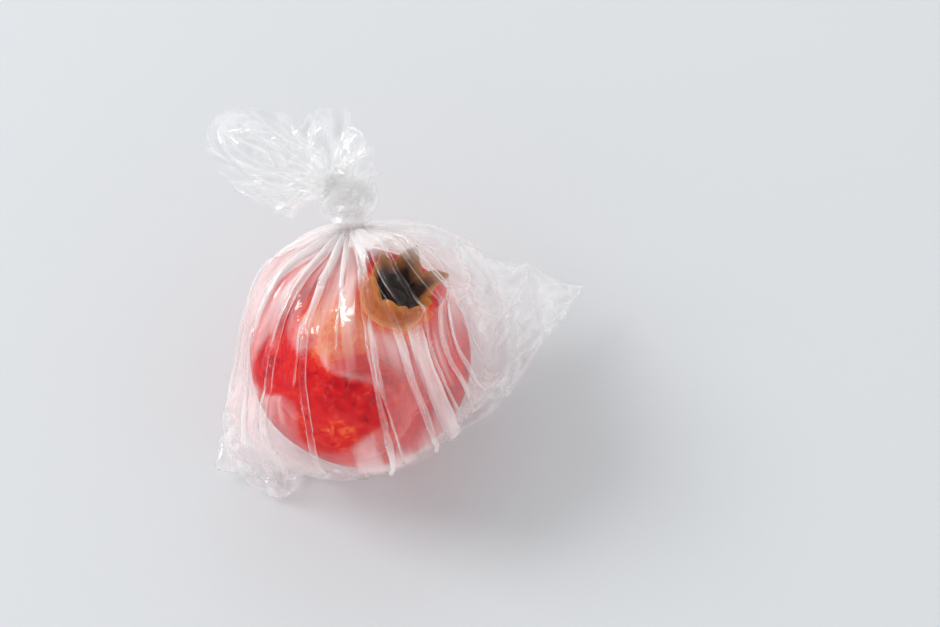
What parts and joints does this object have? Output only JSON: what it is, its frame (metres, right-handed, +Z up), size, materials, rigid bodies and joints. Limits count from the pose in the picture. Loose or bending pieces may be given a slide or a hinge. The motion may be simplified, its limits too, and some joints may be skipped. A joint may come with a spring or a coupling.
{
  "type": "knotted plastic produce bag",
  "caption": "Small clear plastic film bag, gathered and tied in an overhand knot above a pomegranate, with a ruffled open tail and two loose bottom corners.",
  "frame": {"origin": "centre of the flat spot that the bag rests on, under the middle of the fruit", "axes": "+Z up; +Y level, the way that the knotted neck points; +X level, towards the longer bottom corner"},
  "size_m": [0.1413, 0.1267, 0.0997],
  "materials": {
    "film": "thin clear polyethylene film with a faint haze, glossy on its creases",
    "rind": "smooth leathery rind, red with a yellow blush, brown at the crown"
  },
  "bodies": {
    "root": {"bag": "film", "pomegranate": "rind"}
  },
  "joints": []
}
